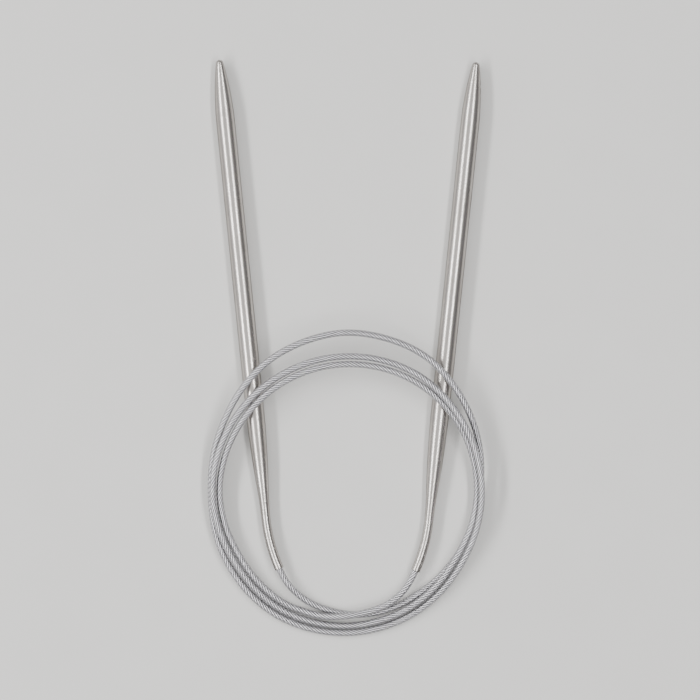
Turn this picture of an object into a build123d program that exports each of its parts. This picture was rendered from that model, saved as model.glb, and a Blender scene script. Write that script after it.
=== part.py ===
from build123d import *

import math
import os

# A fixed circular knitting needle, lying coiled on a flat surface. Millimetres.
# +Y runs towards the two points, +Z is up, and the surface is z = 0.
# The origin is on the surface, midway between the needles.

# Needle: a drawn metal tube with a closed point, and a rear that is swaged down to a bent neck.
SHANK_RADIUS = 2.5
WALL = 0.45
POINT_LENGTH = 17.0
POINT_ROUNDING = 1.0
STRAIGHT_END = 79.0
SHANK_END = 93.0
SHANK_EASING = 0.05
SHOULDER_INFLECTION = 115.5
SHOULDER_END = 122.5
NECK_RADIUS = 1.2
NECK_LENGTH = 14.3
NECK_BEND_DEG = 18.0
MOUTH_ROUNDING = 0.2

# The hollow inside the needle, closed at the point and narrowed to the crimp at the neck.
CAVITY_START = 5.0
CAVITY_ROUNDING = 0.6
CAVITY_FULL = 22.0
CAVITY_INFLECTION = 113
CAVITY_END = 119

# Cable: a wire rope in a plastic sheath. The bare rope is crimped into each neck.
CABLE_RADIUS = 0.9
ROPE_RADIUS = 0.72
CRIMP_LENGTH = 12.0
CRIMP_GAP = 0.01

# Where each needle lies: its point, and how far its axis leans outwards from +Y.
LEFT_POINT = (-34.25, 68.3)
LEFT_LEAN_DEG = 5.8
RIGHT_POINT = (34.25, 67.7)
RIGHT_LEAN_DEG = 5.9

# The coil: a ring that stands on the surface at its near side and on the needles at its far side.
RING_CENTRE = (-0.5, -47.2)
RING_RADIUS = 35.9
RING_LOW_Y = -83.0
RING_LOW_Z = 0.92
RING_SLOPE = 0.087

# The cable's way round the ring, one station each 30 degrees, anticlockwise from 60 degrees right of
# the near side: how far it is outside the ring's circle, and how far above the ring's plane.
FIRST_STATION_DEG = -60.0
STATION_STEP_DEG = 30.0
FIRST_TURN = [
    (-3.0, -0.35), (-1.9, -1.5), (-0.4, -1.85), (2.9, -0.3), (6.4, -0.1), (7.0, -0.25),
    (5.0, -0.1), (1.6, -0.2), (-0.1, -0.9), (0.8, -0.5), (1.65, 0.0), (1.5, 0.0),
]
SECOND_TURN = [
    (1.0, 0.0), (0.05, 0.8), (0.2, 1.75), (0.4, 1.65), (1.05, 0.4), (0.6, 0.0),
    (0.0, 0.05), (-0.3, 0.75), (-0.4, 1.1), (-1.15, 0.5), (-0.25, 0.0), (-0.4, 0.0),
]
THIRD_TURN = [
    (-0.95, 0.6), (-2.0, 0.75), (-0.95, 0.0), (-0.6, 0.0), (-0.95, 0.0), (-1.5, 0.0),
    (-2.0, 0.1), (-2.25, 0.1), (-2.2, 0.0), (-3.05, 0.0), (-2.2, 0.0),
]
STATIONS = FIRST_TURN + SECOND_TURN + THIRD_TURN
LAST_STATION_DEG = FIRST_STATION_DEG + STATION_STEP_DEG * (len(STATIONS) - 1)
RING_SECTIONS = 36

# The cable leaves each neck straight along its axis, and these points lead on from there to the coil.
EXIT_RUN = 3.4
LEFT_LEAD = [
    (-13.8, -73.9, 1.8),
    (-9.9, -76.8, 1.2),
    (-4.3, -78.9, 0.95),
    (2.0, -79.9, 0.95),
    (8.0, -79.2, 1.0),
    (13.2, -77.3, 1.1),
]
RIGHT_LEAD = [
    (13.6, -74.8, 2.8),
    (9.5, -77.5, 2.95),
    (4.0, -79.3, 3.0),
    (-1.8, -80.2, 2.95),
    (-7.4, -80.1, 1.85),
    (-12.3, -78.6, 1.15),
]
FILLET_SHARE = 0.45
FLEX_LENGTH = 11.0


def revolved(profile):
    """A solid of revolution about the needle's own axis, from half its outline."""
    return revolve(make_face(profile), axis=Axis.Y)


def half_outline(nose, nose_radius, nose_end, radius, bend_start, inflection, end, end_radius):
    """Half a needle-shaped outline: a rounded nose, an ogive, a shank and a shoulder.

    The nose's arc and the ogive's are tangent, and so are the ogive's and the shank. The shank is
    straight as far as a sleeve can slide on, and then eases in a little towards its shoulder. The
    shoulder is two tangent arcs whose chords are in line, so it meets the neck with no corner.
    """
    length = nose_end - nose
    rise = length - nose_radius
    ogive_radius = (rise**2 + radius**2 - nose_radius**2) / (2 * (radius - nose_radius))
    share = nose_radius / (ogive_radius - nose_radius)
    tangent_x = share * (ogive_radius - radius)
    tangent_y = -nose - nose_radius + share * rise
    eased_radius = radius - SHANK_EASING
    share = (inflection - bend_start) / (end - bend_start)
    middle_radius = eased_radius - share * (eased_radius - end_radius)
    return [
        TangentArc((0, -nose), (tangent_x, tangent_y), tangent=(1, 0)),
        TangentArc((radius, -nose_end), (tangent_x, tangent_y), tangent=(0, 1)),
        Line((radius, -nose_end), (radius, -STRAIGHT_END)),
        Line((radius, -STRAIGHT_END), (eased_radius, -bend_start)),
        TangentArc((eased_radius, -bend_start), (middle_radius, -inflection), tangent=(0, -1)),
        TangentArc((end_radius, -end), (middle_radius, -inflection), tangent=(0, 1)),
        Line((end_radius, -end), (0, -end)),
        Line((0, -end), (0, -nose)),
    ]


def neck_bend(radius, length):
    """A round bar along the bent neck, reaching back from the mouth by length."""
    bend_radius = NECK_LENGTH / math.radians(NECK_BEND_DEG)
    bend_centre = Axis((bend_radius, -SHOULDER_END, 0), (0, 0, 1))
    arc_deg = math.degrees(length / bend_radius)
    section = Plane.XZ.offset(SHOULDER_END) * Circle(radius)
    bar = revolve(section, axis=bend_centre, revolution_arc=arc_deg)
    return bar.rotate(bend_centre, NECK_BEND_DEG - arc_deg)


def needle_shapes():
    """One needle and its crimped rope end, with the point at the origin and the axis along -Y."""
    outside = revolved(
        half_outline(
            nose=0,
            nose_radius=POINT_ROUNDING,
            nose_end=POINT_LENGTH,
            radius=SHANK_RADIUS,
            bend_start=SHANK_END,
            inflection=SHOULDER_INFLECTION,
            end=SHOULDER_END,
            end_radius=NECK_RADIUS,
        )
    )
    bore_radius = ROPE_RADIUS + CRIMP_GAP
    cavity = revolved(
        half_outline(
            nose=CAVITY_START,
            nose_radius=CAVITY_ROUNDING,
            nose_end=CAVITY_FULL,
            radius=SHANK_RADIUS - WALL,
            bend_start=SHANK_END,
            inflection=CAVITY_INFLECTION,
            end=CAVITY_END,
            end_radius=bore_radius,
        )
    )
    bore = Plane.XZ.offset(CAVITY_END) * Circle(bore_radius)
    bore = extrude(bore, SHOULDER_END - CAVITY_END)
    neck = neck_bend(NECK_RADIUS, NECK_LENGTH)
    mouth_edge = neck.edges().filter_by(GeomType.CIRCLE).sort_by(Axis.Y)[0]
    neck = fillet(mouth_edge, MOUTH_ROUNDING)
    tube = outside + neck - cavity - bore - neck_bend(bore_radius, NECK_LENGTH)
    rope_end = neck_bend(ROPE_RADIUS, CRIMP_LENGTH)
    return tube, rope_end


def mouth_and_direction(place):
    """The middle of a placed neck's mouth, and the way the cable leaves it."""
    bend_radius = NECK_LENGTH / math.radians(NECK_BEND_DEG)
    turn = math.radians(NECK_BEND_DEG)
    mouth = Location(
        (
            bend_radius * (1 - math.cos(turn)),
            -SHOULDER_END - bend_radius * math.sin(turn),
            0,
        ),
        (0, 0, NECK_BEND_DEG),
    )
    plane = Plane(place * mouth)
    return plane.origin, -plane.y_dir


def ring_height(y):
    """The height of the ring's plane over the surface."""
    return RING_LOW_Z + RING_SLOPE * max(0.0, y - RING_LOW_Y)


def coil_station(angle_deg):
    """Radius and height above the ring's plane of the cable at its turn angle, between stations."""
    along = (angle_deg - FIRST_STATION_DEG) / STATION_STEP_DEG
    first = min(int(along), len(STATIONS) - 2)
    share = along - first
    ease = share * share * (3 - 2 * share)
    out_a, lift_a = STATIONS[first]
    out_b, lift_b = STATIONS[first + 1]
    return RING_RADIUS + out_a + ease * (out_b - out_a), lift_a + ease * (lift_b - lift_a)


def coil_point(angle_deg):
    """The middle of the cable at its turn angle."""
    radius, lift = coil_station(angle_deg)
    angle = math.radians(angle_deg)
    x = RING_CENTRE[0] + radius * math.cos(angle)
    y = RING_CENTRE[1] + radius * math.sin(angle)
    return x, y, ring_height(y) + lift


def coil_section(angle_deg):
    """The upright rectangle round all the turns of the coil at one place on the ring."""
    turns = [
        angle_deg + 360 * turn
        for turn in range(-1, 3)
        if FIRST_STATION_DEG <= angle_deg + 360 * turn <= LAST_STATION_DEG
    ]
    radii = [coil_station(turn)[0] for turn in turns]
    heights = [coil_point(turn)[2] for turn in turns]
    inner = min(radii) - CABLE_RADIUS
    outer = max(radii) + CABLE_RADIUS
    low = min(heights) - CABLE_RADIUS
    high = max(heights) + CABLE_RADIUS
    angle = math.radians(angle_deg)
    out = Vector(math.cos(angle), math.sin(angle), 0)
    centre = Vector(RING_CENTRE[0], RING_CENTRE[1], 0)
    up = Vector(0, 0, 1)
    corners = [
        centre + out * inner + up * low,
        centre + out * outer + up * low,
        centre + out * outer + up * high,
        centre + out * inner + up * high,
    ]
    return Wire.make_polygon(corners, close=True)


def coil_half(first, last):
    """The coil's outer shape between two of its sections."""
    step = 360 / RING_SECTIONS
    return Solid.make_loft([coil_section(step * i) for i in range(first, last + 1)], ruled=True)


def cable_tube(points):
    """A plain tube along straight runs joined by tangent arcs, and its path and radii."""
    corners = [Vector(point) for point in points]
    radii = []
    for before, corner, after in zip(corners, corners[1:], corners[2:]):
        arriving = corner - before
        leaving = after - corner
        half_turn = math.radians(arriving.get_angle(leaving)) / 2
        shorter = min(arriving.length, leaving.length)
        radii.append(FILLET_SHARE * shorter / math.tan(half_turn))
    path = FilletPolyline(*corners, radius=radii)
    start = Plane(origin=corners[0], z_dir=corners[1] - corners[0])
    return sweep(start * Circle(CABLE_RADIUS), path=path), path, radii


def write(shape, name):
    shape.label = name
    export_step(shape, f"parts/{name}.step")


def lead(side, place, points, station_deg):
    """The two nodes of the cable between one neck and the coil: the stretch that flexes as the
    needle swings, and the stretch that lies still."""
    mouth, direction = mouth_and_direction(place)
    route = [mouth, mouth + direction * EXIT_RUN] + points + [coil_point(station_deg)]
    tube, path, radii = cable_tube(route)
    section = math.pi * CABLE_RADIUS**2
    print(f"{side} lead: {path.length:.1f} long, volume ratio {tube.volume / (section * path.length):.4f}")
    print("  first point", [round(value, 2) for value in route[1]])
    print("  bend radii", [round(radius, 1) for radius in radii])
    cut_at = path @ (FLEX_LENGTH / path.length)
    cut_along = path % (FLEX_LENGTH / path.length)
    cut = Plane(origin=cut_at, z_dir=cut_along)
    still = split(tube, bisect_by=cut, keep=Keep.TOP)
    flexing = split(tube, bisect_by=cut, keep=Keep.BOTTOM)
    pivot = path @ (FLEX_LENGTH / 2 / path.length)
    print(f"  pivot {tuple(round(value, 2) for value in pivot)}, mouth {tuple(round(v, 2) for v in mouth)}")
    write(flexing, f"{side}_cable_flex")
    write(still, f"{side}_cable_lead")
    return path.length


def coil_length():
    """The length of cable in the coil."""
    steps = 1200
    sweep_deg = LAST_STATION_DEG - FIRST_STATION_DEG
    points = [Vector(coil_point(FIRST_STATION_DEG + sweep_deg * i / steps)) for i in range(steps + 1)]
    return sum((b - a).length for a, b in zip(points, points[1:]))


def main():
    os.makedirs("parts", exist_ok=True)
    tube, rope_end = needle_shapes()
    turned_over = Rot(0, 180, 0)
    left_place = Pos(*LEFT_POINT, SHANK_RADIUS) * Rot(0, 0, LEFT_LEAN_DEG)
    right_place = Pos(*RIGHT_POINT, SHANK_RADIUS) * Rot(0, 0, -RIGHT_LEAN_DEG) * turned_over
    for side, place in (("left", left_place), ("right", right_place)):
        write(place * tube, f"{side}_needle")
        write(place * rope_end, f"{side}_rope_end")

    coil = coil_half(0, RING_SECTIONS // 2).fuse(coil_half(RING_SECTIONS // 2, RING_SECTIONS))
    write(coil, "cable_coil")

    left = lead("left", left_place, LEFT_LEAD, FIRST_STATION_DEG)
    right = lead("right", right_place, RIGHT_LEAD, LAST_STATION_DEG)
    round_coil = coil_length()
    needle_length = SHOULDER_END + NECK_LENGTH
    visible = left + round_coil + right
    print(f"coil {round_coil:.1f}, visible cable {visible:.1f}, point to point {visible + 2 * needle_length:.1f}")
    both = Compound([left_place * tube, right_place * tube]).bounding_box()
    print("needles' box", both.min, both.max)


main()
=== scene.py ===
import math

import bpy
import numpy as np
from mathutils import Matrix, Vector


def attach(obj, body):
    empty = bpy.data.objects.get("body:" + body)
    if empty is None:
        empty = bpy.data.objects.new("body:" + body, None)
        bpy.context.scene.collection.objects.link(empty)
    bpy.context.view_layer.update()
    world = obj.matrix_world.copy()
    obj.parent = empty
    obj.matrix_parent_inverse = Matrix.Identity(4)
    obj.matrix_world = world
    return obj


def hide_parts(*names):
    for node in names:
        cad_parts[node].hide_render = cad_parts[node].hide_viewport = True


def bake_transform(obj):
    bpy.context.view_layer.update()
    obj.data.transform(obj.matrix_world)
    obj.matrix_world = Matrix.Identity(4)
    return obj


# A circular knitting needle lying coiled on a pale floor, seen from straight above. Metres.
# The needles and the cable are built here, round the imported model, from the same driving sizes.

# ---------------------------------------------------------------- needles
# A start, full width, inflection or end is a distance along the needle from its point.
SHANK_RADIUS = 0.0025
WALL = 0.00045
POINT_LENGTH = 0.017
POINT_ROUNDING = 0.001
STRAIGHT_END = 0.079
SHANK_END = 0.093
SHANK_EASING = 0.00005
SHOULDER_INFLECTION = 0.1155
SHOULDER_END = 0.1225
NECK_RADIUS = 0.0012
NECK_LENGTH = 0.0143
NECK_BEND = math.radians(18.0)
MOUTH_ROUNDING = 0.0002
CAVITY_START = 0.005
CAVITY_ROUNDING = 0.0006
CAVITY_FULL = 0.022
CAVITY_INFLECTION = 0.113
CAVITY_END = 0.119
CRIMP_GAP = 0.00001
CRIMP_LENGTH = 0.012
NECK_BEND_RADIUS = NECK_LENGTH / NECK_BEND

LEFT_POINT = (-0.03425, 0.0683)
LEFT_LEAN = math.radians(5.8)
RIGHT_POINT = (0.03425, 0.0677)
RIGHT_LEAN = math.radians(-5.9)

NEEDLE_SIDES = 72
NEEDLE_EDGE_DEG = 40.0
NOSE_POINTS = 14
OGIVE_POINTS = 30
SHANK_POINTS = 16
SHOULDER_POINTS = 18
NECK_POINTS = 16
MOUTH_POINTS = 7

# ---------------------------------------------------------------- cable
CABLE_RADIUS = 0.0009
SHEATH_RELIEF = 0.00006
SHEATH_SIDES = 24
SHEATH_STEP = 0.0003
ROPE_RADIUS = 0.00072
STRANDS = 6
STRAND_RADIUS = 0.000226
STRAND_CIRCLE = ROPE_RADIUS - STRAND_RADIUS
STRAND_PITCH = 0.0072
STRAND_STEP = 0.0005
STRAND_SIDES = 14
CORE_RADIUS = 0.000265
CORE_SIDES = 12
CORE_STEP = 0.001
CABLE_EDGE_DEG = 50.0
ROUTE_STEP = 0.0001
ROUTE_ORDER = 3
ROUTE_FINENESS = 48

FLEX_LENGTH = 0.011

# The cable leaves each mouth straight for a little, and a lead's points go on from there to the coil.
EXIT_RUN = 0.0034
LEFT_LEAD = [
    (-0.0138, -0.0739, 0.0018),
    (-0.0099, -0.0768, 0.0012),
    (-0.0043, -0.0789, 0.00095),
    (0.0020, -0.0799, 0.00095),
    (0.0080, -0.0792, 0.0010),
    (0.0132, -0.0773, 0.0011),
]
RIGHT_LEAD = [
    (0.0136, -0.0748, 0.0028),
    (0.0095, -0.0775, 0.00295),
    (0.0040, -0.0793, 0.0030),
    (-0.0018, -0.0802, 0.00295),
    (-0.0074, -0.0801, 0.00185),
    (-0.0123, -0.0786, 0.00115),
]

# The coil: a ring that stands on the floor at its near side and on the needles at its far side. Each
# station is how far the cable is outside the ring's circle, and how far above the ring's plane.
RING_CENTRE = (-0.0005, -0.0472)
RING_RADIUS = 0.0359
RING_LOW_Y = -0.083
RING_LOW_Z = 0.00092
RING_SLOPE = 0.087
FIRST_STATION_DEG = -60.0
STATION_STEP_DEG = 30.0
TURN_STEP_DEG = 15.0
FIRST_TURN = [
    (-0.0030, -0.00035), (-0.0019, -0.0015), (-0.0004, -0.00185), (0.0029, -0.0003),
    (0.0064, -0.0001), (0.0070, -0.00025), (0.0050, -0.0001), (0.0016, -0.0002),
    (-0.0001, -0.0009), (0.0008, -0.0005), (0.00165, 0.0), (0.0015, 0.0),
]
SECOND_TURN = [
    (0.0010, 0.0), (0.00005, 0.0008), (0.0002, 0.00175), (0.0004, 0.00165),
    (0.00105, 0.0004), (0.0006, 0.0), (0.0, 0.00005), (-0.0003, 0.00075),
    (-0.0004, 0.0011), (-0.00115, 0.0005), (-0.00025, 0.0), (-0.0004, 0.0),
]
THIRD_TURN = [
    (-0.00095, 0.0006), (-0.0020, 0.00075), (-0.00095, 0.0), (-0.0006, 0.0),
    (-0.00095, 0.0), (-0.0015, 0.0), (-0.0020, 0.0001), (-0.00225, 0.0001),
    (-0.0022, 0.0), (-0.00305, 0.0), (-0.0022, 0.0),
]
STATIONS = FIRST_TURN + SECOND_TURN + THIRD_TURN

# ---------------------------------------------------------------- materials
# A scale is noise waves to a metre, waves are radians to a metre, a depth is a bump's height in metres,
# and a pair is the two ends of a range.
MIDDLE_TONES = (0.35, 0.65)

STEEL_COLOURS = ((0.437, 0.409, 0.384), (0.597, 0.567, 0.54))
STEEL_TONES = (0.36, 0.64)
STEEL_ROUGHNESS = (0.30, 0.22)
STEEL_EDGE_TINT = (0.2, 0.2, 0.2)
BRUSH_STRETCH = 0.012
BRUSH_DEPTH = 0.000003
SCRATCH_SCALE = 7000
STREAK_SCALE = 1500
STREAK_SHARE = 0.6
SMUDGE_SCALE = 140
TURNED_WAVES = 21000.0
TURNED_SHARE = 0.16
TURNED_LENGTH = 0.6 * POINT_LENGTH

WIRE_COLOURS = ((0.93, 0.92, 0.93), (0.99, 0.98, 0.99))
WIRE_ROUGHNESS = (0.50, 0.40)
WIRE_METALLIC = 0.8
WIRE_TONE_SCALE = 900
WIRE_GRAIN_SCALE = 9000
WIRE_GRAIN_DEPTH = 0.000004
# Painted shade: the wire's colour goes near black where a point lies deep below the rope's outside,
# between the strands.
GROOVE_SHADE_COLOUR = (0.03, 0.029, 0.03)
GROOVE_SHADE_DEPTHS = (0.05, 0.16)

# The milk's own colour, then the painted shade that it turns to in the valleys of the lay.
SHEATH_MILK_AND_SHADE_COLOURS = ((0.50, 0.495, 0.51), (0.24, 0.237, 0.246))
SHEATH_VALLEY_SHADE_DEPTHS = (0.35, 1.0)
SHEATH_ROUGHNESS = 0.5
SHEATH_CLEAR = (0.975, 0.97, 0.985)
SHEATH_MILK = (0.06, 0.78)
SHEATH_IOR = 1.53
WALL_FACING = (0.28, 0.62)
SCUFF_SCALE = 2600
SCUFF_TONES = (0.35, 0.7)
SCUFF_ROUGHNESS = (0.16, 0.30)
SCUFF_DEPTH = 0.000004

FLOOR_COLOURS = ((0.63, 0.622, 0.605), (0.665, 0.657, 0.64))
FLOOR_ROUGHNESS = 0.7
FLOOR_TONE_SCALE = 60
FLOOR_GRAIN_SCALE = 2500
FLOOR_GRAIN_DEPTH = 0.00001
FLOOR_HALF = 4.0
FLOOR_DROP = 0.00002

# ---------------------------------------------------------------- camera and light
VIEW_CENTRE = (0.00059, -0.00903)
VIEW_WIDTH = 0.1866
LENS = 180.0
SENSOR = 36.0
SEEN_FROM = 0.01
SEEN_TO = 20.0
DOME_AXIS = (-0.45, 0.1, 0.9)
DOME_EDGES = (0.3, 0.75)
DOME_DARK = (0.24, 0.24, 0.245)
DOME_LIGHT = (0.95, 0.95, 0.95)
# Each strip lamp has a name, a lean from overhead in degrees, a width and a power.
STRIPS = (("left_strip", -44.0, 0.09, 6.2), ("right_strip", 22.0, 0.07, 4.8))
STRIP_AWAY = 0.75
STRIP_LENGTH = 1.1


# ================================================================ small tools

def mesh_object(name, points, faces, sharp_deg=None, grooves=None, straightened=None):
    """A smooth-shaded mesh object from points and faces.

    Its points may carry how deep in a groove they are, and where they were before a bend.
    """
    mesh = bpy.data.meshes.new(name)
    mesh.from_pydata([tuple(p) for p in points], [], faces)
    mesh.validate()
    if grooves is not None:
        mesh.attributes.new("groove", "FLOAT", "POINT").data.foreach_set("value", grooves)
    if straightened is not None:
        kept = mesh.attributes.new("straightened", "FLOAT_VECTOR", "POINT")
        kept.data.foreach_set("vector", np.array(straightened).ravel())
    mesh.polygons.foreach_set("use_smooth", [True] * len(mesh.polygons))
    if sharp_deg is not None:
        mesh.set_sharp_from_angle(angle=math.radians(sharp_deg))
    mesh.update()
    piece = bpy.data.objects.new(name, mesh)
    bpy.context.scene.collection.objects.link(piece)
    return piece


def ring_faces(rings, sides, first=0):
    """The quads between rings of points, each ring joined to the next."""
    faces = []
    for ring in range(rings - 1):
        base = first + ring * sides
        for side in range(sides):
            after = (side + 1) % sides
            faces.append((base + side, base + after, base + sides + after, base + sides + side))
    return faces


def tube_object(name, rings, grooves=None):
    """A closed tube through rings of points, an array of (ring, side, xyz), with flat ends."""
    count, sides, _ = rings.shape
    faces = ring_faces(count, sides)
    last = (count - 1) * sides
    faces.append(tuple(reversed(range(sides))))
    faces.append(tuple(range(last, last + sides)))
    return mesh_object(name, rings.reshape(-1, 3), faces, CABLE_EDGE_DEG, grooves)


# ================================================================ needle shape

def half_outline(nose, nose_radius, nose_end, radius, bend_start, inflection, end, end_radius):
    """Half a needle's outline as (radius, distance from the point), from its nose to its neck.

    A rounded nose, an ogive, a shank that is straight and then eases in, and a shoulder of two arcs.
    """
    rise = nose_end - nose - nose_radius
    ogive = (rise**2 + radius**2 - nose_radius**2) / (2 * (radius - nose_radius))
    meet = math.asin((ogive - radius) / (ogive - nose_radius))
    line = []
    for turn in np.linspace(0, meet, NOSE_POINTS):
        line.append((nose_radius * math.sin(turn), nose + nose_radius * (1 - math.cos(turn))))
    for turn in np.linspace(meet, math.pi / 2, OGIVE_POINTS)[1:]:
        line.append((radius - ogive * (1 - math.sin(turn)), nose_end - ogive * math.cos(turn)))
    for along in np.linspace(nose_end, STRAIGHT_END, SHANK_POINTS)[1:]:
        line.append((radius, along))
    eased = radius - SHANK_EASING
    line.append((eased, bend_start))
    middle = eased - (inflection - bend_start) / (end - bend_start) * (eased - end_radius)
    for start, stop, outer, inner in (
        (bend_start, inflection, eased, middle),
        (end, inflection, end_radius, middle),
    ):
        drop, run = inner - outer, stop - start
        arc = (drop**2 + run**2) / (2 * abs(drop))
        turns = np.linspace(0, math.asin(abs(run) / arc), SHOULDER_POINTS)
        side = [
            (outer + math.copysign(arc, drop) * (1 - math.cos(turn)),
             start + math.copysign(arc, run) * math.sin(turn))
            for turn in turns
        ]
        line += side[1:] if run > 0 else side[-2::-1]
    return line


def bent(x, along, z):
    """A point of the straight needle once its neck is bent, in the needle's own frame."""
    if along <= SHOULDER_END:
        return x, -along, z
    turn = (along - SHOULDER_END) / NECK_BEND_RADIUS
    arm = NECK_BEND_RADIUS - x
    return NECK_BEND_RADIUS - arm * math.cos(turn), -SHOULDER_END - arm * math.sin(turn), z


def needle_outline():
    """The whole closed half outline: outside from the point to the mouth, then back along the hollow."""
    length = SHOULDER_END + NECK_LENGTH
    outline = half_outline(
        0.0, POINT_ROUNDING, POINT_LENGTH, SHANK_RADIUS,
        SHANK_END, SHOULDER_INFLECTION, SHOULDER_END, NECK_RADIUS,
    )
    for along in np.linspace(SHOULDER_END, length - MOUTH_ROUNDING, NECK_POINTS)[1:]:
        outline.append((NECK_RADIUS, along))
    for turn in np.linspace(0, math.pi / 2, MOUTH_POINTS)[1:]:
        outline.append((
            NECK_RADIUS - MOUTH_ROUNDING * (1 - math.cos(turn)),
            length - MOUTH_ROUNDING * (1 - math.sin(turn)),
        ))
    bore = ROPE_RADIUS + CRIMP_GAP
    for along in np.linspace(length, SHOULDER_END, NECK_POINTS):
        outline.append((bore, along))
    cavity = half_outline(
        CAVITY_START, CAVITY_ROUNDING, CAVITY_FULL, SHANK_RADIUS - WALL,
        SHANK_END, CAVITY_INFLECTION, CAVITY_END, bore,
    )
    outline += reversed(cavity)
    return outline


def needle_piece(name, place):
    """One needle: its outline turned about its axis, with the neck bent, put in its place."""
    outline = needle_outline()
    middle = outline[1:-1]
    straight = [(0, outline[0][1], 0)]
    for radius, along in middle:
        for side in range(NEEDLE_SIDES):
            turn = 2 * math.pi * side / NEEDLE_SIDES
            straight.append((radius * math.cos(turn), along, radius * math.sin(turn)))
    straight.append((0, outline[-1][1], 0))
    points = [place @ Vector(bent(*point)) for point in straight]
    faces = ring_faces(len(middle), NEEDLE_SIDES, first=1)
    last_ring = 1 + (len(middle) - 1) * NEEDLE_SIDES
    for side in range(NEEDLE_SIDES):
        after = (side + 1) % NEEDLE_SIDES
        faces.append((0, 1 + after, 1 + side))
        faces.append((len(points) - 1, last_ring + side, last_ring + after))
    return mesh_object(name, points, faces, NEEDLE_EDGE_DEG, straightened=straight)


def needle_place(point, lean, turned_over):
    """Where a needle lies, as a matrix from its own frame: point at the origin, axis along -Y."""
    place = Matrix.Translation((point[0], point[1], SHANK_RADIUS)) @ Matrix.Rotation(lean, 4, "Z")
    if turned_over:
        place = place @ Matrix.Rotation(math.pi, 4, "Y")
    return place


def neck_line(place):
    """The middle line of the crimped rope, from inside the neck to its mouth."""
    length = SHOULDER_END + NECK_LENGTH
    steps = round(CRIMP_LENGTH / ROUTE_STEP)
    return [
        place @ Vector(bent(0, along, 0))
        for along in np.linspace(length - CRIMP_LENGTH, length, steps + 1)
    ]


# ================================================================ cable route

def ring_height(y):
    """The height of the ring's plane over the floor."""
    return RING_LOW_Z + RING_SLOPE * max(0.0, y - RING_LOW_Y)


def coil_station(angle_deg):
    """Distance from the ring's middle, and height above its plane, between stations."""
    along = (angle_deg - FIRST_STATION_DEG) / STATION_STEP_DEG
    first = min(int(along), len(STATIONS) - 2)
    share = along - first
    ease = share * share * (3 - 2 * share)
    out_a, lift_a = STATIONS[first]
    out_b, lift_b = STATIONS[first + 1]
    return RING_RADIUS + out_a + ease * (out_b - out_a), lift_a + ease * (lift_b - lift_a)


def coil_controls():
    """The control points of the turns.

    They stand a little outside the turns, because the smooth line that they give runs inside them.
    """
    last = FIRST_STATION_DEG + STATION_STEP_DEG * (len(STATIONS) - 1)
    outside = 4 / (3 + math.cos(math.radians(TURN_STEP_DEG)))
    points = []
    for angle_deg in np.arange(FIRST_STATION_DEG, last + TURN_STEP_DEG / 2, TURN_STEP_DEG):
        radius, lift = coil_station(angle_deg)
        angle = math.radians(angle_deg)
        y_on_turn = RING_CENTRE[1] + radius * math.sin(angle)
        x = RING_CENTRE[0] + outside * radius * math.cos(angle)
        y = RING_CENTRE[1] + outside * radius * math.sin(angle)
        points.append((x, y, ring_height(y_on_turn) + lift))
    return points


def smooth_line(points):
    """Points along the NURBS curve that these control points give."""
    curve = bpy.data.curves.new("route", "CURVE")
    curve.dimensions = "3D"
    curve.resolution_u = ROUTE_FINENESS
    spline = curve.splines.new("NURBS")
    spline.points.add(len(points) - 1)
    for spline_point, point in zip(spline.points, points):
        spline_point.co = (*point, 1.0)
    spline.order_u = ROUTE_ORDER
    spline.use_endpoint_u = True
    holder = bpy.data.objects.new("route", curve)
    bpy.context.scene.collection.objects.link(holder)
    bpy.context.view_layer.update()
    depsgraph = bpy.context.evaluated_depsgraph_get()
    mesh = bpy.data.meshes.new_from_object(holder.evaluated_get(depsgraph))
    line = np.array([vertex.co for vertex in mesh.vertices], float)
    bpy.data.objects.remove(holder)
    bpy.data.curves.remove(curve)
    bpy.data.meshes.remove(mesh)
    return line


def run_lengths(line):
    """The distance along a line at each of its points."""
    return np.concatenate([[0.0], np.cumsum(np.linalg.norm(np.diff(line, axis=0), axis=1))])


def evenly(line):
    """The same line with its points ROUTE_STEP apart."""
    along = run_lengths(line)
    wanted = np.linspace(0, along[-1], round(along[-1] / ROUTE_STEP) + 1)
    return np.stack([np.interp(wanted, along, line[:, axis]) for axis in range(3)], axis=1)


def carried_frames(line):
    """At each point of a line its direction and two square directions that don't twist about it."""
    ahead = np.gradient(line, axis=0)
    ahead /= np.linalg.norm(ahead, axis=1)[:, None]
    side = np.cross(ahead[0], (0.0, 0.0, 1.0))
    side /= np.linalg.norm(side)
    sides = [side]
    for here in range(len(line) - 1):
        side = sides[-1] - np.dot(sides[-1], ahead[here + 1]) * ahead[here + 1]
        sides.append(side / np.linalg.norm(side))
    sides = np.array(sides)
    return ahead, sides, np.cross(ahead, sides)


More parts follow.
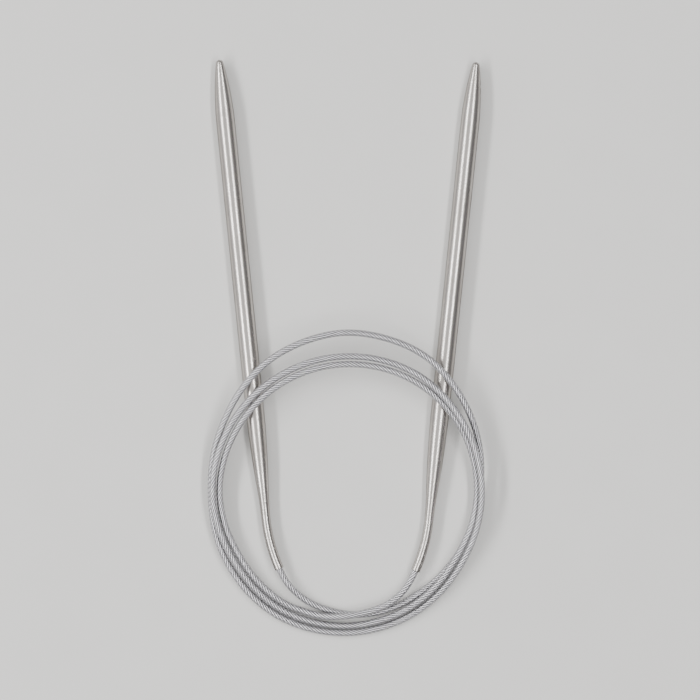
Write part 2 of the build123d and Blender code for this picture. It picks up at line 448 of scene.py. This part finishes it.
class Route:
    """The rope's whole middle line, from inside one neck to inside the other, and its directions."""

    def __init__(self, left_place, right_place):
        left_neck = np.array(neck_line(left_place))
        right_neck = np.array(neck_line(right_place))[::-1]
        left_exit = left_neck[-1] + self.leaving(left_neck) * EXIT_RUN
        right_exit = right_neck[0] + self.leaving(right_neck[::-1]) * EXIT_RUN
        coil = coil_controls()
        controls = [left_neck[-1], left_exit, *LEFT_LEAD, *coil]
        controls += [*reversed(RIGHT_LEAD), right_exit, right_neck[0]]
        middle = evenly(smooth_line(controls))
        self.line = np.concatenate([left_neck[:-1], middle, right_neck[1:]])
        self.along = run_lengths(self.line)
        self.ahead, self.side, self.up = carried_frames(self.line)
        self.start = self.along[len(left_neck) - 1]
        self.end = self.along[len(left_neck) + len(middle) - 2]
        half = len(self.line) // 2
        self.coil_start = self.nearest(coil[0], 0, half)
        self.coil_end = self.nearest(coil[-1], half, len(self.line))

    @staticmethod
    def leaving(neck):
        """The way the cable leaves a neck's mouth, the last point of its line."""
        step = neck[-1] - neck[-2]
        return step / np.linalg.norm(step)

    def nearest(self, point, first, last):
        """The distance along the route of its nearest point, between two of its points."""
        away = np.linalg.norm(self.line[first:last] - np.array(point), axis=1)
        return self.along[first + int(away.argmin())]

    def stretch(self, start, end, step):
        """Distances, middle points and the three directions between two distances."""
        wanted = np.linspace(start, end, max(2, round((end - start) / step)) + 1)
        found = [wanted]
        for values in (self.line, self.ahead, self.side, self.up):
            found.append(np.stack([np.interp(wanted, self.along, values[:, i]) for i in range(3)], axis=1))
        return found


# ================================================================ cable pieces

def sheath_piece(name, route, start, end):
    """The sheath over one stretch: a tube that shows the strands under it as a slight relief."""
    along, middle, _, side, up = route.stretch(start, end, SHEATH_STEP)
    lay = 2 * math.pi * along / STRAND_PITCH
    rings = []
    valleys = []
    for corner in range(SHEATH_SIDES):
        turn = 2 * math.pi * corner / SHEATH_SIDES
        valleys.append((1 - math.cos(STRANDS * turn)) / 2)
        radius = CABLE_RADIUS - SHEATH_RELIEF * valleys[-1]
        out = np.cos(lay + turn)[:, None] * side + np.sin(lay + turn)[:, None] * up
        rings.append(middle + radius * out)
    return tube_object(name, np.stack(rings, axis=1), valleys * len(along))


def strand_rings(route, start, end, number):
    """One strand of the rope: a tube laid round the rope's middle.

    With the rings goes how far each point is below the rope's outside, as a share of its radius.
    """
    along, middle, ahead, side, up = route.stretch(start, end, STRAND_STEP)
    lay = 2 * math.pi * (along / STRAND_PITCH + number / STRANDS)
    out = np.cos(lay)[:, None] * side + np.sin(lay)[:, None] * up
    round_rope = -np.sin(lay)[:, None] * side + np.cos(lay)[:, None] * up
    forward = ahead + 2 * math.pi * STRAND_CIRCLE / STRAND_PITCH * round_rope
    forward /= np.linalg.norm(forward, axis=1)[:, None]
    across = np.cross(forward, out)
    centre = middle + STRAND_CIRCLE * out
    rings = []
    depths = []
    for corner in range(STRAND_SIDES):
        turn = 2 * math.pi * corner / STRAND_SIDES
        ring = centre + STRAND_RADIUS * (math.cos(turn) * out + math.sin(turn) * across)
        rings.append(ring)
        depths.append(1 - np.linalg.norm(ring - middle, axis=1) / ROPE_RADIUS)
    return np.stack(rings, axis=1), np.stack(depths, axis=1).ravel()


def core_rings(route, start, end):
    """The straight strand in the rope's middle."""
    _, middle, _, side, up = route.stretch(start, end, CORE_STEP)
    turns = [2 * math.pi * corner / CORE_SIDES for corner in range(CORE_SIDES)]
    rings = [middle + CORE_RADIUS * (math.cos(turn) * side + math.sin(turn) * up) for turn in turns]
    return np.stack(rings, axis=1)


def rope_pieces(name, route, start, end):
    """The seven strands of one stretch of the rope."""
    pieces = [
        tube_object(f"{name}_strand_{number + 1}", *strand_rings(route, start, end, number))
        for number in range(STRANDS)
    ]
    pieces.append(tube_object(f"{name}_core_strand", core_rings(route, start, end)))
    return pieces


# ================================================================ materials

def new_material(name):
    """A material, its nodes, its links and its Principled node."""
    made = bpy.data.materials.new(name)
    made.use_nodes = True
    nodes = made.node_tree.nodes
    return made, nodes, made.node_tree.links, nodes["Principled BSDF"]


def own_place(nodes):
    """Object coordinates."""
    return nodes.new("ShaderNodeTexCoord").outputs["Object"]


def carried(nodes, attribute, output):
    """What the mesh's points carry under a name."""
    node = nodes.new("ShaderNodeAttribute")
    node.attribute_name = attribute
    return node.outputs[output]


def noise(nodes, links, vector, scale, detail=2.0, roughness=0.5):
    """A noise value."""
    texture = nodes.new("ShaderNodeTexNoise")
    texture.inputs["Scale"].default_value = scale
    texture.inputs["Detail"].default_value = detail
    texture.inputs["Roughness"].default_value = roughness
    links.new(vector, texture.inputs["Vector"])
    return texture.outputs["Fac"]


def spread(nodes, links, value, low, high, to_low, to_high):
    """A value moved from one range to another, and kept in it."""
    node = nodes.new("ShaderNodeMapRange")
    node.inputs["From Min"].default_value = low
    node.inputs["From Max"].default_value = high
    node.inputs["To Min"].default_value = to_low
    node.inputs["To Max"].default_value = to_high
    links.new(value, node.inputs["Value"])
    return node.outputs["Result"]


def arithmetic(nodes, links, operation, first, second=None):
    """One step of arithmetic on values or numbers."""
    node = nodes.new("ShaderNodeMath")
    node.operation = operation
    for socket, value in zip(node.inputs, (first, second)):
        if isinstance(value, (int, float)):
            socket.default_value = value
        elif value is not None:
            links.new(value, socket)
    return node.outputs["Value"]


def colours(nodes, links, value, first, second):
    """A colour between two, by a value."""
    ramp = nodes.new("ShaderNodeValToRGB")
    ramp.color_ramp.elements[0].color = (*first, 1)
    ramp.color_ramp.elements[1].color = (*second, 1)
    links.new(value, ramp.inputs["Fac"])
    return ramp.outputs["Color"]


def bumped(nodes, links, shader, height, depth):
    """Bump on a shader from a height between 0 and 1."""
    bump = nodes.new("ShaderNodeBump")
    bump.inputs["Strength"].default_value = 1.0
    bump.inputs["Distance"].default_value = depth
    links.new(height, bump.inputs["Height"])
    links.new(bump.outputs["Normal"], shader.inputs["Normal"])


def needle_metal(name):
    """Drawn and polished metal: fine scratches along the shank, turned rings on the ground point."""
    made, nodes, links, shader = new_material(name)
    straight = carried(nodes, "straightened", "Vector")
    stretched = nodes.new("ShaderNodeMapping")
    stretched.inputs["Scale"].default_value = (1, BRUSH_STRETCH, 1)
    links.new(straight, stretched.inputs["Vector"])
    scratches = noise(nodes, links, stretched.outputs["Vector"], SCRATCH_SCALE, detail=3.0, roughness=0.6)
    streaks = noise(nodes, links, stretched.outputs["Vector"], STREAK_SCALE)
    smudges = noise(nodes, links, straight, SMUDGE_SCALE, detail=3.0)
    split = nodes.new("ShaderNodeSeparateXYZ")
    links.new(straight, split.inputs["Vector"])
    along = split.outputs["Y"]
    on_point = spread(nodes, links, along, POINT_LENGTH, TURNED_LENGTH, 0, 1)
    rings = arithmetic(nodes, links, "SINE", arithmetic(nodes, links, "MULTIPLY", along, TURNED_WAVES))
    rings = arithmetic(nodes, links, "MULTIPLY", rings, on_point)
    rings = arithmetic(nodes, links, "MULTIPLY", rings, TURNED_SHARE)
    bumped(nodes, links, shader, arithmetic(nodes, links, "ADD", scratches, rings), BRUSH_DEPTH)
    streaked = arithmetic(nodes, links, "MULTIPLY", streaks, STREAK_SHARE)
    smudged = arithmetic(nodes, links, "MULTIPLY", smudges, 1 - STREAK_SHARE)
    tone = arithmetic(nodes, links, "ADD", streaked, smudged)
    base = colours(nodes, links, spread(nodes, links, tone, *STEEL_TONES, 0, 1), *STEEL_COLOURS)
    links.new(base, shader.inputs["Base Color"])
    dullness = spread(nodes, links, tone, *MIDDLE_TONES, *STEEL_ROUGHNESS)
    links.new(dullness, shader.inputs["Roughness"])
    shader.inputs["Metallic"].default_value = 1.0
    shader.inputs["Specular Tint"].default_value = (*STEEL_EDGE_TINT, 1)
    return made


def wire_metal(name):
    """Bright drawn wire with painted shade, near black, down between the strands, a little uneven along
    its length.
    """
    made, nodes, links, shader = new_material(name)
    own = own_place(nodes)
    tone = noise(nodes, links, own, WIRE_TONE_SCALE)
    bright = colours(nodes, links, spread(nodes, links, tone, *MIDDLE_TONES, 0, 1), *WIRE_COLOURS)
    # Painted shade between the strands, by how deep each point lies below the rope's outside.
    groove_shade = spread(nodes, links, carried(nodes, "groove", "Fac"), *GROOVE_SHADE_DEPTHS, 0, 1)
    base = nodes.new("ShaderNodeMix")
    base.data_type = "RGBA"
    links.new(groove_shade, base.inputs["Factor"])
    links.new(bright, base.inputs["A"])
    base.inputs["B"].default_value = (*GROOVE_SHADE_COLOUR, 1)
    links.new(base.outputs["Result"], shader.inputs["Base Color"])
    dullness = spread(nodes, links, tone, *MIDDLE_TONES, *WIRE_ROUGHNESS)
    links.new(dullness, shader.inputs["Roughness"])
    shader.inputs["Metallic"].default_value = WIRE_METALLIC
    grain = noise(nodes, links, own, WIRE_GRAIN_SCALE, detail=1.0)
    bumped(nodes, links, shader, grain, WIRE_GRAIN_DEPTH)
    return made


def sheath_plastic(name):
    """Semi-clear nylon: a milky coat that the rope shows through, under a clear gloss.

    It is milkier where the sight line runs along the wall, and its milk carries painted shade, darker in
    the valleys of the lay.
    """
    made, nodes, links, milk = new_material(name)
    scuffs = noise(nodes, links, own_place(nodes), SCUFF_SCALE, detail=3.0, roughness=0.6)
    # Painted shade: the milk darkens in the valleys of the lay.
    valley_shade = spread(nodes, links, carried(nodes, "groove", "Fac"), *SHEATH_VALLEY_SHADE_DEPTHS, 0, 1)
    links.new(colours(nodes, links, valley_shade, *SHEATH_MILK_AND_SHADE_COLOURS), milk.inputs["Base Color"])
    milk.inputs["Roughness"].default_value = SHEATH_ROUGHNESS
    edge = nodes.new("ShaderNodeLayerWeight")
    edge.inputs["Blend"].default_value = 0.5
    clear = nodes.new("ShaderNodeBsdfTransparent")
    clear.inputs["Color"].default_value = (*SHEATH_CLEAR, 1)
    milkiness = spread(nodes, links, edge.outputs["Facing"], *WALL_FACING, *SHEATH_MILK)
    body = nodes.new("ShaderNodeMixShader")
    links.new(milkiness, body.inputs["Fac"])
    links.new(clear.outputs["BSDF"], body.inputs[1])
    links.new(milk.outputs["BSDF"], body.inputs[2])
    gloss = nodes.new("ShaderNodeBsdfGlossy")
    dullness = spread(nodes, links, scuffs, *SCUFF_TONES, *SCUFF_ROUGHNESS)
    links.new(dullness, gloss.inputs["Roughness"])
    bumped(nodes, links, gloss, scuffs, SCUFF_DEPTH)
    glance = nodes.new("ShaderNodeFresnel")
    glance.inputs["IOR"].default_value = SHEATH_IOR
    coated = nodes.new("ShaderNodeMixShader")
    links.new(glance.outputs["Fac"], coated.inputs["Fac"])
    links.new(body.outputs["Shader"], coated.inputs[1])
    links.new(gloss.outputs["BSDF"], coated.inputs[2])
    output = next(node for node in nodes if node.type == "OUTPUT_MATERIAL")
    links.new(coated.outputs["Shader"], output.inputs["Surface"])
    return made


def floor_paint(name):
    """A plain pale surface with the faintest mottle."""
    made, nodes, links, shader = new_material(name)
    own = own_place(nodes)
    mottle = noise(nodes, links, own, FLOOR_TONE_SCALE, detail=4.0)
    links.new(colours(nodes, links, mottle, *FLOOR_COLOURS), shader.inputs["Base Color"])
    shader.inputs["Roughness"].default_value = FLOOR_ROUGHNESS
    bumped(nodes, links, shader, noise(nodes, links, own, FLOOR_GRAIN_SCALE), FLOOR_GRAIN_DEPTH)
    return made


def paint(piece, material):
    """Gives a piece one material."""
    piece.data.materials.clear()
    piece.data.materials.append(material)


# ================================================================ stage

def floor_piece():
    """The plain surface that the object lies on, a hair under it."""
    half = FLOOR_HALF
    corners = [(-half, -half, 0), (half, -half, 0), (half, half, 0), (-half, half, 0)]
    floor = mesh_object("floor", corners, [(0, 1, 2, 3)])
    floor.location.z = -FLOOR_DROP
    paint(floor, floor_paint("floor_paint"))


def softbox(name, position, target, width, length, power):
    """A rectangular white lamp that faces target."""
    lamp = bpy.data.lights.new(name, "AREA")
    lamp.shape = "RECTANGLE"
    lamp.size = length
    lamp.size_y = width
    lamp.energy = power
    holder = bpy.data.objects.new(name, lamp)
    holder.location = position
    facing = Vector(target) - Vector(position)
    holder.rotation_euler = facing.to_track_quat("-Z", "Y").to_euler()
    bpy.context.scene.collection.objects.link(holder)


def studio():
    """Soft light: a dome that is bright overhead and to the left, and two strips along the needles."""
    world = bpy.data.worlds.new("studio")
    world.use_nodes = True
    nodes, links = world.node_tree.nodes, world.node_tree.links
    source = nodes.new("ShaderNodeTexCoord")
    toward = nodes.new("ShaderNodeVectorMath")
    toward.operation = "DOT_PRODUCT"
    toward.inputs[1].default_value = Vector(DOME_AXIS).normalized()
    links.new(source.outputs["Generated"], toward.inputs[0])
    ramp = nodes.new("ShaderNodeValToRGB")
    ramp.color_ramp.interpolation = "EASE"
    ramp.color_ramp.elements[0].position = DOME_EDGES[0]
    ramp.color_ramp.elements[0].color = (*DOME_DARK, 1)
    ramp.color_ramp.elements[1].position = DOME_EDGES[1]
    ramp.color_ramp.elements[1].color = (*DOME_LIGHT, 1)
    links.new(toward.outputs["Value"], ramp.inputs["Fac"])
    links.new(ramp.outputs["Color"], nodes["Background"].inputs["Color"])
    bpy.context.scene.world = world
    for name, lean_deg, width, power in STRIPS:
        lean = math.radians(lean_deg)
        position = (STRIP_AWAY * math.sin(lean), 0.0, STRIP_AWAY * math.cos(lean))
        softbox(name, position, (0, 0, 0), width, STRIP_LENGTH, power)


def camera():
    """A long lens straight above the object."""
    lens = bpy.data.cameras.new("camera")
    lens.lens = LENS
    lens.sensor_width = SENSOR
    lens.clip_start = SEEN_FROM
    lens.clip_end = SEEN_TO
    holder = bpy.data.objects.new("camera", lens)
    holder.location = (*VIEW_CENTRE, VIEW_WIDTH * LENS / SENSOR + SHANK_RADIUS)
    bpy.context.scene.collection.objects.link(holder)
    bpy.context.scene.camera = holder


# ================================================================ the whole object

def make_needle(side, place, metal):
    """One needle, in the place of its CAD node."""
    needle = needle_piece(f"{side}_needle_tube", place)
    paint(needle, metal)
    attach(needle, f"{side}_end")
    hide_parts(f"{side}_needle")


def make_rope_end(side, route, start, end, metal):
    """The bare rope crimped in a neck, in the place of its CAD node."""
    strands = rope_pieces(f"{side}_crimped", route, start, end)
    for strand in strands:
        paint(strand, metal)
        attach(strand, f"{side}_end")
        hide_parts(f"{side}_rope_end")


def make_cable(name, route, start, end, plastic, metal):
    """One stretch of the cable: its sheath and the strands in it."""
    sheath = sheath_piece(f"{name}_sheath", route, start, end)
    paint(sheath, plastic)
    strands = rope_pieces(name, route, start, end)
    for strand in strands:
        paint(strand, metal)
    return sheath, strands


def route_points(route, start, end):
    """The middle line of a stretch as plain points."""
    return [tuple(point) for point in route.stretch(start, end, SHEATH_STEP)[1]]


def make_lead(side, route, mouth_at, coil_at, plastic, metal):
    """The cable from a neck to the coil."""
    start, end = sorted((mouth_at, coil_at))
    inward = 1 if coil_at > mouth_at else -1
    sheath, strands = make_cable(f"{side}_lead", route, start, end, plastic, metal)
    path = route_points(route, start, end)[::inward]
    flex_end = route_points(route, *sorted((mouth_at, mouth_at + inward * FLEX_LENGTH)))[::inward][-1]
    for piece in [sheath, *strands]:
        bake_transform(piece)
    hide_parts(f"{side}_cable_lead", f"{side}_cable_flex")


def make_coil(route, plastic, metal):
    """The turns of the cable."""
    start, end = route.coil_start, route.coil_end
    sheath, strands = make_cable("coil", route, start, end, plastic, metal)
    path = route_points(route, start, end)
    for piece in [sheath, *strands]:
        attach(piece, "cable")
    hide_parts("cable_coil")


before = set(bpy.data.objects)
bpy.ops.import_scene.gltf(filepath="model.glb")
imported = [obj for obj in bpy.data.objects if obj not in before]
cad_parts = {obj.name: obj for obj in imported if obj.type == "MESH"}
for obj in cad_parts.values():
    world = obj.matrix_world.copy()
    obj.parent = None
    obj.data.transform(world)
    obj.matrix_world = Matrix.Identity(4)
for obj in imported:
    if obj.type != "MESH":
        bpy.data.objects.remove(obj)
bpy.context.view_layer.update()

camera()
studio()
floor_piece()

left_place = needle_place(LEFT_POINT, LEFT_LEAN, turned_over=False)
right_place = needle_place(RIGHT_POINT, RIGHT_LEAN, turned_over=True)
steel = needle_metal("drawn_steel")
make_needle("left", left_place, steel)
make_needle("right", right_place, steel)

route = Route(left_place, right_place)
plastic = sheath_plastic("semi_clear_nylon")
metal = wire_metal("bright_wire")
make_rope_end("left", route, 0.0, route.start, metal)
make_rope_end("right", route, route.end, route.along[-1], metal)
make_lead("left", route, route.start, route.coil_start, plastic, metal)
make_lead("right", route, route.end, route.coil_end, plastic, metal)
make_coil(route, plastic, metal)
